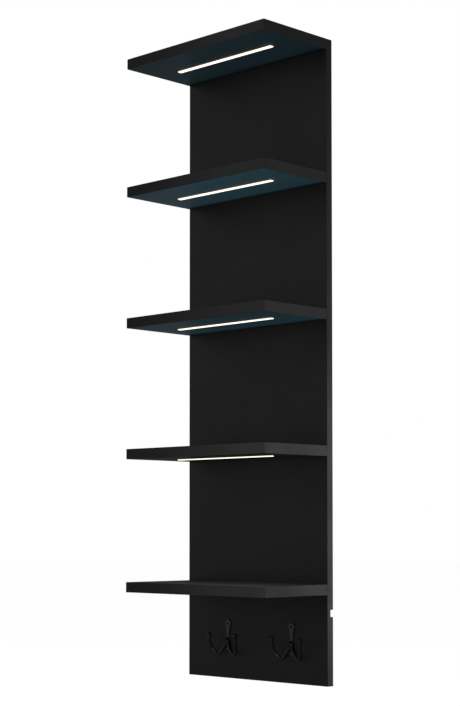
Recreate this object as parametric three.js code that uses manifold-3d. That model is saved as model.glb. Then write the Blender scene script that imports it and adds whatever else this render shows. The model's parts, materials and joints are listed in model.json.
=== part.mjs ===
// A tall wall panel with five fixed shelves, a light bar let into the underside of the upper four, and two
// double coat hooks under the lowest. Millimetres, +Z up. The panel's back face lies on the wall at y = 0 and
// its front faces -Y. The origin is the middle of that back face.
import * as THREE from "three";
import { mergeVertices } from "three/addons/utils/BufferGeometryUtils.js";
import Module from "manifold-3d";

// ---------------------------------------------------------------- driving dimensions
const seatGap = 0.3; // left between two faces that touch
const overcut = 1; // how far a cutting tool runs past the face it opens

const panelWidth = 520;
const panelHeight = 1710;
const panelThickness = 22;

const shelfNames = ["top", "upper", "middle", "lower", "foot"];
const shelfDepth = 240;
const shelfThickness = 28;
const lowestShelfTop = 266; // above the foot of the panel; the top shelf is flush with the panel's top edge
const shelfRises = [1, 0.753, 0.5015, 0.252, 0]; // shares of the way up from the lowest shelf to the top one

const driveSlotShare = 0.125; // half the width of a screw's cross slot, as a share of the cross's width
const driveDepthShare = 0.6; // of the height of the screw's head

const shelfScrewBite = 46; // into the shelf
const shelfScrew = {
  length: panelThickness + shelfScrewBite,
  shank: 3,
  head: 5.8,
  headHeight: 4,
  tip: 8,
  drive: 3.4,
};
const shelfScrewInset = 60; // from the shelf's ends

const lightLength = 360; // over both end caps
const lightWidth = 16;
const lightHeight = 10;
const lightWall = 1.3;
const lightWeb = 1.6;
const grooveClearance = 0.4;
const capThickness = 4;
const capSpigot = { length: 5, width: 9, height: 2.2, clearance: 0.4 };
const diffuserThickness = 1.6; // above the plane of the shelf's underside
const diffuserProud = 2; // below it
const diffuserBevel = 1.2;
const diffuserLeg = { width: 1.1, height: 1.4 };
const boardWidth = 10;
const boardThickness = 1.6;
const boardEndGap = 1; // to the cap's spigot
const chip = { length: 3.5, width: 2.8, height: 0.8 };
const chipPitch = 20;

const leadRadius = 1.5;
const leadPitch = 5; // between neighbouring leads in the cable channel
const leadBend = 4.2;
const leadHeight = 5.2; // of a lead's centre above its shelf's underside
const leadBoreRadius = leadRadius + 1.1;
const leadStart = boardWidth / 2 + 1; // behind the middle of its light bar
const comb = { height: 6, clearance: 0.3, back: 2.6 }; // holds the leads apart in the channel

const channelCentre = 120; // right of the panel's middle
const channelMargin = 4.5; // beside the outer leads' centres
const channelDepth = 10;
const channelHeadroom = 12; // above the top lead

const driver = { width: 44, length: 130, thickness: 12 };
const driverEar = { width: 14, length: 7, thickness: 2.4 };
const inlet = { width: 26, length: 15, thickness: 11 };
const inletPole = { width: 3, depth: 9, pitch: 9 };
const distributor = { width: 34, length: 18, thickness: 10 };
const distributorSocket = { width: 3.6, depth: 1.2 };
const driverLeadLength = 16;
const pocketMargin = 8; // around the driver
const pocketClearance = 1; // in front of the driver
const pocketBackset = 1; // from the panel's back face to the driver
const driverScrewSkin = 2.4; // board left in front of the driver screws' points

const outletHeight = 190; // centre of the cable outlet above the foot of the panel
const outletWidth = 19;
const outletDepth = 10;

const hangerInset = 60; // from the panel's side edges to the hanger plates
const hangerDrop = 112; // from the panel's top edge to the hanger plates
const hanger = { width: 56, length: 44, thickness: 2.5, corner: 6 };
const keyhole = { entry: 6, slot: 3, rise: 14, clearance: 1 };
const hangerCavityDepth = 11;
const hangerScrew = { length: 16, shank: 1.75, head: 3.6, headHeight: 2, tip: 3, drive: 2.2 };
const hangerScrewInset = 9; // from the plate's ends

const hookSpacing = 238;
const hookOffset = 16; // of the pair's middle, right of the panel's middle
const hookHeight = 118; // of the plate's centre above the foot of the panel
const hookPlate = { width: 24, length: 88, waist: 12, thickness: 4, bevel: 1.2 };
const hookRoot = -15; // where the prongs spring, below the plate's centre
const hookSpread = 50; // sideways reach of a prong's tip
const hookReach = 26; // of a prong's tip in front of the plate's back
const hookDrop = 57; // of a prong's lowest point below the plate's centre
const prongRadius = 4.6;
const prongTipRadius = 7.2;
const prongCourse = [
  // from the boss to the ball tip, as shares of the spread, the reach and the drop
  [0.2, 0.3, 0.62],
  [0.57, 0.4, 1],
  [0.9, 0.7, 0.73],
  [1, 0.95, 0.33],
  [1, 1, 0],
];
const prongSteps = 16;
const bossRadius = 9;
const hookScrewSkin = 7.3; // from the hook screws' points to the panel's back face
const hookScrew = {
  length: hookPlate.thickness + seatGap + panelThickness - hookScrewSkin,
  shank: 1.9,
  head: 3.8,
  headHeight: 2.1,
  tip: 4,
  drive: 2.4,
};
const lobeWrap = Math.PI / 5; // how far each end lobe runs past a half circle, on both sides

const roundSides = 12; // of screws and bores
const leadSides = 8; // of leads and prongs
const bendSteps = 6;
const plateCurveSteps = 8;
const cornerSteps = 4;
const ballSteps = [12, 8];

// ---------------------------------------------------------------- places worked out from them
const shelfTop = (index) => lowestShelfTop + shelfRises[index] * (panelHeight - lowestShelfTop);
const underside = (index) => shelfTop(index) - shelfThickness;
const litShelves = shelfNames.length - 1;
const shelfBack = -panelThickness - seatGap;
const shelfMiddle = shelfBack - shelfDepth / 2;
const channelWidth = (litShelves - 1) * leadPitch + 2 * channelMargin;
const leadX = (index) => channelCentre + (index - (litShelves - 1) / 2) * leadPitch;
const shelfScrewReach = panelWidth / 2 - shelfScrewInset;
const shelfScrewZ = (index) => shelfTop(index) - shelfThickness / 2;

const pocketDepth = pocketBackset + driver.thickness + pocketClearance;
const pocketFoot = outletHeight - outletWidth / 2 - pocketMargin;
const inletFoot = outletHeight + outletWidth / 2 + pocketMargin;
const driverFoot = inletFoot + inlet.length + seatGap;
const driverHead = driverFoot + driver.length;
const distributorFoot = driverHead + driverLeadLength;
const distributorHead = distributorFoot + distributor.length;
const pocketHead = distributorHead + pocketMargin;
const pocketWidth = driver.width + 2 * pocketMargin;

const driverFront = -pocketBackset - driver.thickness;
const driverScrewX = (side) => channelCentre + (side * (driver.width + driverEar.length)) / 2;
const driverScrewY = driverFront + driverEar.thickness;
const driverScrewZ = (driverFoot + driverHead) / 2;
const driverScrew = {
  length: panelThickness + driverScrewY - driverScrewSkin,
  shank: 1.4,
  head: 2.7,
  headHeight: 1.4,
  tip: 2,
  drive: 1.8,
};
const sides = [
  ["left", -1],
  ["right", 1],
];

const hangerX = panelWidth / 2 - hangerInset;
const hangerZ = panelHeight - hangerDrop;
const hookX = (side) => hookOffset + (side * hookSpacing) / 2;
const hangerScrewReach = hanger.width / 2 - hangerScrewInset;
const hangerEnds = [
  ["inner", -1],
  ["outer", 1],
];
const hangerScrewX = (side, end) => side * (hangerX + end * hangerScrewReach);
const hookScrewReach = (hookPlate.length - hookPlate.width) / 2;
const hookEnds = [
  ["lower", -1],
  ["upper", 1],
];

// ---------------------------------------------------------------- finishes
const finish = (color, roughness, metalness = 0) =>
  new THREE.MeshStandardMaterial({ color, roughness, metalness });
const blackLaminate = finish(0x1d1d1d, 0.5);
const blackAnodised = finish(0x141414, 0.4, 0.8);
const blackPlastic = finish(0x121212, 0.5);
const opalAcrylic = finish(0xfff6e6, 0.35);
opalAcrylic.emissive.set(0xfff1da);
const boardWhite = finish(0xe8e6df, 0.45);
const cableGrey = finish(0x2a2a2a, 0.6);
const driverShell = finish(0xd9d9d6, 0.5);
const castIron = finish(0x131313, 0.45, 0.6);
const blackSteel = finish(0x191919, 0.4, 0.8);
const zincSteel = finish(0xb4b6b8, 0.3, 1);

// ---------------------------------------------------------------- cutting and joining
const kernel = await Module();
kernel.setup();

function solidOf(geometry) {
  const bare = new THREE.BufferGeometry();
  bare.setAttribute("position", geometry.getAttribute("position"));
  bare.setIndex(geometry.getIndex());
  const merged = mergeVertices(bare, 1e-4);
  const corners = [];
  const index = merged.getIndex().array;
  for (let i = 0; i < index.length; i += 3) {
    const [a, b, c] = index.subarray(i, i + 3);
    if (a !== b && b !== c && c !== a) corners.push(a, b, c);
  }
  const mesh = new kernel.Mesh({
    numProp: 3,
    vertProperties: merged.getAttribute("position").array,
    triVerts: new Uint32Array(corners),
  });
  return new kernel.Manifold(mesh);
}

function geometryOf(solid) {
  const mesh = solid.getMesh();
  const indexed = new THREE.BufferGeometry();
  indexed.setAttribute("position", new THREE.BufferAttribute(mesh.vertProperties, 3));
  indexed.setIndex(new THREE.BufferAttribute(mesh.triVerts, 1));
  const flat = indexed.toNonIndexed();
  flat.computeVertexNormals();
  return flat;
}

const join = (pieces) => geometryOf(pieces.map(solidOf).reduce((all, next) => all.add(next)));
const cut = (body, tools) =>
  geometryOf(tools.map(solidOf).reduce((left, tool) => left.subtract(tool), solidOf(body)));

// ---------------------------------------------------------------- plain shapes
// A block between two corners.
function block([x0, y0, z0], [x1, y1, z1]) {
  const shape = new THREE.BoxGeometry(x1 - x0, y1 - y0, z1 - z0);
  return shape.translate((x0 + x1) / 2, (y0 + y1) / 2, (z0 + z1) / 2);
}

// A cylinder along Y, between two places on that axis.
function barAlongY(x, z, radius, y0, y1) {
  const shape = new THREE.CylinderGeometry(radius, radius, y1 - y0, roundSides);
  return shape.translate(x, (y0 + y1) / 2, z);
}

// A flat section drawn as [y, z] corners, run along X and centred on it.
function runAlongX(corners, length) {
  const section = new THREE.Shape(corners.map(([y, z]) => new THREE.Vector2(y, z)));
  const run = new THREE.ExtrudeGeometry(section, { depth: length, bevelEnabled: false });
  const toRowAxes = new THREE.Matrix4().set(0, 0, 1, -length / 2, 1, 0, 0, 0, 0, 1, 0, 0, 0, 0, 0, 1);
  return run.applyMatrix4(toRowAxes);
}

// A countersunk screw along Y: its head's flat face is at y = 0 and its point at y = -length.
// Grown by a clearance, the same form is the hole that it goes in.
function screwForm({ length, shank, head, headHeight, tip }, clearance = 0, above = 0) {
  const profile = [
    [0, -length - clearance],
    [shank + clearance, tip - length - clearance],
    [shank + clearance, -headHeight - clearance],
    [head + clearance, 0],
  ];
  if (above) profile.push([head + clearance, above]);
  profile.push([0, above]);
  return new THREE.LatheGeometry(
    profile.map(([r, y]) => new THREE.Vector2(r, y)),
    roundSides,
  );
}

function screw(size) {
  const half = size.drive / 2;
  const slot = size.drive * driveSlotShare;
  const depth = size.headHeight * driveDepthShare;
  const across = block([-half, -depth, -slot], [half, overcut, slot]);
  const upright = block([-slot, -depth, -half], [slot, overcut, half]);
  return cut(screwForm(size), [join([across, upright])]);
}

const screwHole = (size, x, y, z) => screwForm(size, seatGap, overcut).translate(x, y, z);

// ---------------------------------------------------------------- panel
const shelfScrewCuts = (index) =>
  sides.map(([, side]) => screwHole(shelfScrew, side * shelfScrewReach, 0, shelfScrewZ(index)));

function keyholeForm(y0, y1) {
  const outline = new THREE.Shape();
  const meet = Math.sqrt(keyhole.entry ** 2 - keyhole.slot ** 2);
  const from = Math.atan2(meet, keyhole.slot);
  outline.moveTo(keyhole.slot, meet);
  outline.lineTo(keyhole.slot, keyhole.rise);
  outline.absarc(0, keyhole.rise, keyhole.slot, 0, Math.PI, false);
  outline.lineTo(-keyhole.slot, meet);
  outline.absarc(0, 0, keyhole.entry, Math.PI - from, 2 * Math.PI + from, false);
  const form = new THREE.ExtrudeGeometry(outline, {
    depth: y1 - y0,
    bevelEnabled: false,
    curveSegments: roundSides,
  });
  return form.rotateX(Math.PI / 2).translate(0, y1, 0);
}

function roundedPlate(width, length, corner, y0, y1) {
  const [w, l] = [width / 2 - corner, length / 2 - corner];
  const outline = new THREE.Shape();
  outline.absarc(w, l, corner, 0, Math.PI / 2, false);
  outline.absarc(-w, l, corner, Math.PI / 2, Math.PI, false);
  outline.absarc(-w, -l, corner, Math.PI, 1.5 * Math.PI, false);
  outline.absarc(w, -l, corner, 1.5 * Math.PI, 2 * Math.PI, false);
  const plate = new THREE.ExtrudeGeometry(outline, {
    depth: y1 - y0,
    bevelEnabled: false,
    curveSegments: cornerSteps,
  });
  return plate.rotateX(Math.PI / 2).translate(0, y1, 0);
}

// What is cut out for one hanger plate: its seat, and a deeper cavity for the head of the wall screw.
function hangerCuts(side) {
  const seat = roundedPlate(
    hanger.width + 2 * seatGap,
    hanger.length + 2 * seatGap,
    hanger.corner + seatGap,
    -hanger.thickness - seatGap,
    overcut,
  );
  const reach = keyhole.entry + keyhole.clearance;
  const cavity = block([-reach, -hangerCavityDepth, -reach], [reach, 0, keyhole.rise + reach]);
  const screws = hangerEnds.map(([, end]) => screwHole(hangerScrew, hangerScrewX(side, end), 0, hangerZ));
  return [...[seat, cavity].map((tool) => tool.translate(side * hangerX, 0, hangerZ)), ...screws];
}

function panelBoard() {
  const half = panelWidth / 2;
  const board = block([-half, -panelThickness, 0], [half, 0, panelHeight]);
  const channelHead = underside(0) + leadHeight + channelHeadroom;
  const channel = block(
    [channelCentre - channelWidth / 2, -channelDepth, pocketHead - overcut],
    [channelCentre + channelWidth / 2, overcut, channelHead],
  );
  const pocket = block(
    [channelCentre - pocketWidth / 2, -pocketDepth, pocketFoot],
    [channelCentre + pocketWidth / 2, overcut, pocketHead],
  );
  const outlet = block(
    [channelCentre, -outletDepth, outletHeight - outletWidth / 2],
    [half + overcut, overcut, outletHeight + outletWidth / 2],
  );
  const shelfScrewHoles = shelfNames.flatMap((_, index) => shelfScrewCuts(index));
  const leadHoles = shelfNames.slice(0, litShelves).map((_, index) => {
    const z = underside(index) + leadHeight;
    return barAlongY(leadX(index), z, leadBoreRadius, -panelThickness - overcut, -channelDepth + overcut);
  });
  const hookScrewHoles = sides.flatMap(([, side]) =>
    hookEnds.map(([, end]) => hookScrewHole(hookX(side), hookHeight + end * hookScrewReach)),
  );
  const driverScrewHoles = sides.map(([, side]) =>
    screwHole(driverScrew, driverScrewX(side), driverScrewY, driverScrewZ),
  );
  return cut(board, [
    channel,
    pocket,
    outlet,
    ...shelfScrewHoles,
    ...leadHoles,
    ...hookScrewHoles,
    ...driverScrewHoles,
    ...sides.flatMap(([, side]) => hangerCuts(side)),
  ]);
}

function hangerPlate() {
  const plate = roundedPlate(hanger.width, hanger.length, hanger.corner, -hanger.thickness, 0);
  const holes = hangerEnds.map(([, end]) => screwHole(hangerScrew, end * hangerScrewReach, 0, 0));
  return cut(plate, [keyholeForm(-hanger.thickness - overcut, overcut), ...holes]);
}

// ---------------------------------------------------------------- shelves
function shelfBoard(index, lit) {
  const half = panelWidth / 2;
  const [front, back] = [shelfBack - shelfDepth, shelfBack];
  const board = block([-half, front, underside(index)], [half, back, shelfTop(index)]);
  const tools = shelfScrewCuts(index);
  if (lit) {
    const long = lightLength / 2 + grooveClearance;
    const wide = lightWidth / 2 + grooveClearance;
    const groove = block(
      [-long, shelfMiddle - wide, underside(index) - overcut],
      [long, shelfMiddle + wide, underside(index) + lightHeight + grooveClearance],
    );
    const bore = barAlongY(
      leadX(index),
      underside(index) + leadHeight,
      leadBoreRadius,
      shelfMiddle + wide - overcut,
      back + overcut,
    );
    tools.push(groove, bore);
  }
  return cut(board, tools);
}

// ---------------------------------------------------------------- light bars
// Each is drawn about the middle of the bar, on the plane of the shelf's underside.
const profileLength = lightLength - 2 * (capThickness + seatGap);
const diffuserTop = diffuserThickness + diffuserLeg.height;

function lightHousing(leadOffset) {
  const [out, inner, ceiling] = [lightWidth / 2, lightWidth / 2 - lightWall, lightHeight - lightWeb];
  const section = [
    [-out, 0],
    [-inner, 0],
    [-inner, ceiling],
    [inner, ceiling],
    [inner, 0],
    [out, 0],
    [out, lightHeight],
    [-out, lightHeight],
  ];
  const leadHole = barAlongY(leadOffset, leadHeight, leadRadius + seatGap, inner - overcut, out + overcut);
  return cut(runAlongX(section, profileLength), [leadHole]);
}

function diffuser() {
  const out = lightWidth / 2 - lightWall - seatGap;
  const leg = out - diffuserLeg.width;
  const section = [
    [-out, diffuserBevel - diffuserProud],
    [diffuserBevel - out, -diffuserProud],
    [out - diffuserBevel, -diffuserProud],
    [out, diffuserBevel - diffuserProud],
    [out, diffuserTop],
    [leg, diffuserTop],
    [leg, diffuserThickness],
    [-leg, diffuserThickness],
    [-leg, diffuserTop],
    [-out, diffuserTop],
  ];
  return runAlongX(section, profileLength);
}

function ledBoard() {
  const top = lightHeight - lightWeb - seatGap;
  const length = profileLength - 2 * (capSpigot.length + boardEndGap);
  const [half, low] = [boardWidth / 2, top - boardThickness];
  const strip = block([-length / 2, -half, low], [length / 2, half, top]);
  const count = Math.floor(length / chipPitch);
  const chips = Array.from({ length: count }, (_, i) => {
    const x = (i - (count - 1) / 2) * chipPitch;
    const corner = [x - chip.length / 2, -chip.width / 2, low - chip.height];
    return block(corner, [x + chip.length / 2, chip.width / 2, low + boardThickness / 2]);
  });
  return join([strip, ...chips]);
}

// The cap on the +X end; its spigot goes into the profile.
function endCap() {
  const [half, spigotHalf] = [lightWidth / 2, capSpigot.width / 2];
  const inside = -capThickness - seatGap - capSpigot.length;
  const low = diffuserTop + capSpigot.clearance;
  const cap = block([-capThickness, -half, 0], [0, half, lightHeight]);
  const spigot = block(
    [inside, -spigotHalf, low],
    [-capThickness / 2, spigotHalf, low + capSpigot.height],
  );
  return join([cap, spigot]);
}

// ---------------------------------------------------------------- leads, driver and distributor
// A route through knots. Equal steps of t go from knot to knot, so a straight run takes a single step.
class KnottedRoute extends THREE.Curve {
  constructor(knots) {
    super();
    this.knots = knots;
  }
  getPoint(t, target = new THREE.Vector3()) {
    const place = Math.min(t, 1) * (this.knots.length - 1);
    const i = Math.min(Math.floor(place), this.knots.length - 2);
    return target.lerpVectors(this.knots[i], this.knots[i + 1], place - i);
  }
  getTangent(t, target = new THREE.Vector3()) {
    const i = Math.round(t * (this.knots.length - 1));
    const before = this.knots[Math.max(i - 1, 0)];
    const after = this.knots[Math.min(i + 1, this.knots.length - 1)];
    return target.subVectors(after, before).normalize();
  }
  getUtoTmapping(u) {
    return u;
  }
}

function roundSection(radius, sides) {
  const corner = (_, i) => {
    const turn = (2 * Math.PI * i) / sides;
    return new THREE.Vector2(radius * Math.cos(turn), radius * Math.sin(turn));
  };
  return new THREE.Shape(Array.from({ length: sides }, corner));
}

function alongRoute(route, steps, radius, sides) {
  const options = { steps, extrudePath: route, bevelEnabled: false };
  return new THREE.ExtrudeGeometry(roundSection(radius, sides), options);
}

// From the light bar back through the shelf and the panel, round a bend and down the cable channel.
function lightLead(index) {
  const x = leadX(index);
  const z = underside(index) + leadHeight;
  const start = shelfMiddle + leadStart;
  const middle = -channelDepth / 2;
  const bend = Array.from({ length: bendSteps + 1 }, (_, i) => {
    const turn = (Math.PI / 2) * (i / bendSteps);
    const along = middle - leadBend + leadBend * Math.sin(turn);
    return new THREE.Vector3(x, along, z - leadBend + leadBend * Math.cos(turn));
  });
  const end = new THREE.Vector3(x, middle, distributorHead + seatGap);
  const knots = [new THREE.Vector3(x, start, z), ...bend, end];
  return alongRoute(new KnottedRoute(knots), knots.length - 1, leadRadius, leadSides);
}

function driverLead() {
  const middle = -pocketBackset - distributor.thickness / 2;
  const knots = [driverHead + seatGap, distributorFoot - seatGap].map(
    (z) => new THREE.Vector3(channelCentre, middle, z),
  );
  return alongRoute(new KnottedRoute(knots), 1, leadRadius, leadSides);
}

// A slim driver with a countersunk fixing ear at each long side.
function driverCase() {
  const half = driver.width / 2;
  const shell = block([-half, driverFront, driverFoot], [half, -pocketBackset, driverHead]);
  const ears = block(
    [-half - driverEar.length, driverFront, driverScrewZ - driverEar.width / 2],
    [half + driverEar.length, driverScrewY, driverScrewZ + driverEar.width / 2],
  );
  const body = join([shell, ears]).translate(channelCentre, 0, 0);
  const holes = sides.map(([, side]) =>
    screwHole(driverScrew, driverScrewX(side), driverScrewY, driverScrewZ),
  );
  return cut(body, holes);
}

// The socket that the mains lead plugs into, facing down the pocket to the cable outlet.
function mainsInlet() {
  const [half, back] = [inlet.width / 2, -pocketBackset];
  const head = driverFoot - seatGap;
  const body = block([-half, back - inlet.thickness, inletFoot], [half, back, head]);
  const poles = [-1, 1].map((pole) => {
    const [x, y] = [(pole * inletPole.pitch) / 2, back - inlet.thickness / 2];
    const reach = inletPole.width / 2;
    const top = inletFoot + inletPole.depth;
    return block([x - reach, y - reach, inletFoot - overcut], [x + reach, y + reach, top]);
  });
  return cut(body, poles).translate(channelCentre, 0, 0);
}

// A comb across the channel, with an open slot for each lead.
function leadComb() {
  const half = channelWidth / 2 - comb.clearance;
  const body = block([-half, -channelDepth + comb.clearance, 0], [half, -comb.back, comb.height]);
  const slotHalf = leadRadius + comb.clearance;
  const floor = -channelDepth / 2 - slotHalf;
  const slots = shelfNames.slice(0, litShelves).map((_, index) => {
    const x = leadX(index) - channelCentre;
    return block([x - slotHalf, floor, -overcut], [x + slotHalf, 0, comb.height + overcut]);
  });
  return cut(body, slots);
}

// One blind socket for each light's lead, in the top face.
function distributorBlock() {
  const half = distributor.width / 2;
  const back = -pocketBackset;
  const body = block([-half, back - distributor.thickness, distributorFoot], [half, back, distributorHead]);
  const sockets = shelfNames.slice(0, litShelves).map((_, index) => {
    const x = leadX(index) - channelCentre;
    const wide = distributorSocket.width / 2;
    const middle = -channelDepth / 2;
    return block(
      [x - wide, middle - wide, distributorHead - distributorSocket.depth],
      [x + wide, middle + wide, distributorHead + overcut],
    );
  });
  return cut(body, sockets).translate(channelCentre, 0, 0);
}

// ---------------------------------------------------------------- coat hooks
const hookPlateFront = -panelThickness - seatGap - hookPlate.thickness;

// The hook screws go in from the front, so their form is turned to face -Y.
const hookScrewHole = (x, z) =>
  screwForm(hookScrew, seatGap, 2 * overcut).rotateX(Math.PI).translate(x, hookPlateFront, z);

function hookBackPlate() {
  const { width, length, waist, thickness, bevel } = hookPlate;
  const lobe = width / 2 - bevel;
  const [neckX, neckZ] = [lobe * Math.cos(lobeWrap), hookScrewReach - lobe * Math.sin(lobeWrap)];
  const pull = waist - 2 * bevel - neckX; // brings the middle of each side in to the waist
  const outline = new THREE.Shape();
  outline.absarc(0, hookScrewReach, lobe, -lobeWrap, Math.PI + lobeWrap, false);
  outline.quadraticCurveTo(-pull, 0, -neckX, -neckZ);
  outline.absarc(0, -hookScrewReach, lobe, Math.PI - lobeWrap, 2 * Math.PI + lobeWrap, false);
  outline.quadraticCurveTo(pull, 0, neckX, neckZ);
  const plate = new THREE.ExtrudeGeometry(outline, {
    depth: thickness - bevel,
    bevelThickness: bevel,
    bevelSize: bevel,
    bevelSegments: 1,
    curveSegments: plateCurveSteps,
  });
  // The bevel behind the flat back is cut off, where the plate lies on the panel.
  const behind = block([-width, 0, -length], [width, thickness, length]);
  return cut(plate.rotateX(Math.PI / 2), [behind]);
}

// A prong leaves the plate's middle, drops outwards in a U and rises to its ball tip.
function prong(side) {
  const drop = hookDrop - prongRadius;
  const root = new THREE.Vector3(0, -hookPlate.thickness / 2, hookRoot);
  const knots = prongCourse.map(
    ([out, ahead, down]) => new THREE.Vector3(side * out * hookSpread, -ahead * hookReach, -down * drop),
  );
  const route = new THREE.CatmullRomCurve3([root, ...knots]);
  const rod = alongRoute(route, prongSteps, prongRadius, leadSides);
  const ball = new THREE.SphereGeometry(prongTipRadius, ...ballSteps);
  return [rod, ball.translate(side * hookSpread, -hookReach, 0)];
}

function coatHook() {
  const boss = new THREE.SphereGeometry(bossRadius, ...ballSteps);
  boss.translate(0, -hookPlate.thickness, hookRoot);
  const behind = block([-hookSpread, 0, -hookDrop], [hookSpread, hookReach, hookDrop]);
  const casting = join([hookBackPlate(), boss, ...prong(-1), ...prong(1)]);
  const holes = hookEnds.map(([, end]) => {
    const hole = screwForm(hookScrew, seatGap, hookReach).rotateX(Math.PI);
    return hole.translate(0, -hookPlate.thickness, end * hookScrewReach);
  });
  return cut(casting, [behind, ...holes]);
}

// ---------------------------------------------------------------- assembly
const assembly = new THREE.Group();
assembly.name = "lit_shelf_wall_panel";

// Heights in the functions above are counted from the foot of the panel.
const fromFoot = new THREE.Group();
fromFoot.position.z = -panelHeight / 2;
assembly.add(fromFoot);

function place(parent, name, geometry, material, position = [0, 0, 0]) {
  const mesh = new THREE.Mesh(geometry, material);
  mesh.name = name;
  mesh.position.set(...position);
  parent.add(mesh);
  return mesh;
}

place(fromFoot, "back_panel", panelBoard(), blackLaminate);

const shelfScrewShape = screw(shelfScrew);
shelfNames.forEach((name, index) => {
  place(fromFoot, `shelf_${name}`, shelfBoard(index, index < litShelves), blackLaminate);
  sides.forEach(([sideName, side]) => {
    const position = [side * shelfScrewReach, 0, shelfScrewZ(index)];
    place(fromFoot, `shelf_screw_${name}_${sideName}`, shelfScrewShape, zincSteel, position);
  });
});

const diffuserShape = diffuser();
const ledBoardShape = ledBoard();
const rightCapShape = endCap();
const leftCapShape = endCap().rotateZ(Math.PI);
shelfNames.slice(0, litShelves).forEach((name, index) => {
  const light = new THREE.Group();
  light.position.set(0, shelfMiddle, underside(index));
  fromFoot.add(light);
  place(light, `light_housing_${name}`, lightHousing(leadX(index)), blackAnodised);
  place(light, `light_diffuser_${name}`, diffuserShape, opalAcrylic);
  place(light, `led_board_${name}`, ledBoardShape, boardWhite);
  place(light, `light_end_cap_${name}_left`, leftCapShape, blackPlastic, [-lightLength / 2, 0, 0]);
  place(light, `light_end_cap_${name}_right`, rightCapShape, blackPlastic, [lightLength / 2, 0, 0]);
  place(fromFoot, `light_lead_${name}`, lightLead(index), cableGrey);
});

place(fromFoot, "mains_inlet", mainsInlet(), blackPlastic);
place(fromFoot, "led_driver", driverCase(), driverShell);
place(fromFoot, "lead_distributor", distributorBlock(), blackPlastic);
place(fromFoot, "driver_lead", driverLead(), cableGrey);
const combShape = leadComb();
const combAbove = [
  ["upper", 1],
  ["lower", 3],
];
combAbove.forEach(([name, index]) => {
  const position = [channelCentre, 0, (underside(index) + underside(index - 1)) / 2];
  place(fromFoot, `lead_comb_${name}`, combShape, blackPlastic, position);
});
const driverScrewShape = screw(driverScrew);
sides.forEach(([sideName, side]) => {
  const position = [driverScrewX(side), driverScrewY, driverScrewZ];
  place(fromFoot, `driver_screw_${sideName}`, driverScrewShape, zincSteel, position);
});

const hookShape = coatHook();
const hookScrewShape = screw(hookScrew).rotateX(Math.PI);
sides.forEach(([sideName, side]) => {
  const hook = new THREE.Group();
  hook.position.set(hookX(side), -panelThickness - seatGap, hookHeight);
  fromFoot.add(hook);
  place(hook, `coat_hook_${sideName}`, hookShape, castIron);
  hookEnds.forEach(([endName, end]) => {
    const position = [0, -hookPlate.thickness, end * hookScrewReach];
    place(hook, `hook_screw_${sideName}_${endName}`, hookScrewShape, blackSteel, position);
  });
});

const hangerShape = hangerPlate();
const hangerScrewShape = screw(hangerScrew);
sides.forEach(([sideName, side]) => {
  place(fromFoot, `hanger_plate_${sideName}`, hangerShape, zincSteel, [side * hangerX, 0, hangerZ]);
  hangerEnds.forEach(([endName, end]) => {
    const position = [hangerScrewX(side, end), 0, hangerZ];
    place(fromFoot, `hanger_screw_${sideName}_${endName}`, hangerScrewShape, zincSteel, position);
  });
});

export default assembly;
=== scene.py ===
"""A black wall-hung display panel with five shelves, four light bars and two coat hooks."""

import json
import math

import bmesh
import bpy
from mathutils import Matrix, Vector

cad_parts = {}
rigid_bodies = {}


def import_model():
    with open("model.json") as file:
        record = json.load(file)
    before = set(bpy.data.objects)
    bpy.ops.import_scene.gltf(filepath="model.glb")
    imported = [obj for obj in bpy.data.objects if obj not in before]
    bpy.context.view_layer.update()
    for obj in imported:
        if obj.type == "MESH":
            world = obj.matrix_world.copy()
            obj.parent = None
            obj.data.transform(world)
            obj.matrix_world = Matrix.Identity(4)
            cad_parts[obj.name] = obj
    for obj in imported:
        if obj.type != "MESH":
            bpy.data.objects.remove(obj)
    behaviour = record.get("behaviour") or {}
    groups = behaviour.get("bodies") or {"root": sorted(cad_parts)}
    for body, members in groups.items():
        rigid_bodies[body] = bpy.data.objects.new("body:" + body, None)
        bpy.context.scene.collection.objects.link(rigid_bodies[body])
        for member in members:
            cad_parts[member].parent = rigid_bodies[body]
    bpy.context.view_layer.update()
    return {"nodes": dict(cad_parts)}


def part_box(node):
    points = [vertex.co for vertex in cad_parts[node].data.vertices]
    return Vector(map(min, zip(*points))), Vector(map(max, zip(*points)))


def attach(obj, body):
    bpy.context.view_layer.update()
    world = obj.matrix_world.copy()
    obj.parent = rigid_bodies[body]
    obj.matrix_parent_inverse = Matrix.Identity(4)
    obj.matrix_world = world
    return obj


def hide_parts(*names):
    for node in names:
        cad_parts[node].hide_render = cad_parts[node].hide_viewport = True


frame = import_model()
NODES = frame["nodes"]
MM = 0.001
SHELVES = ("top", "upper", "middle", "lower", "foot")
LIT = SHELVES[:-1]
SIDES = ("left", "right")

# ---------------------------------------------------------------- node helpers


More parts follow.
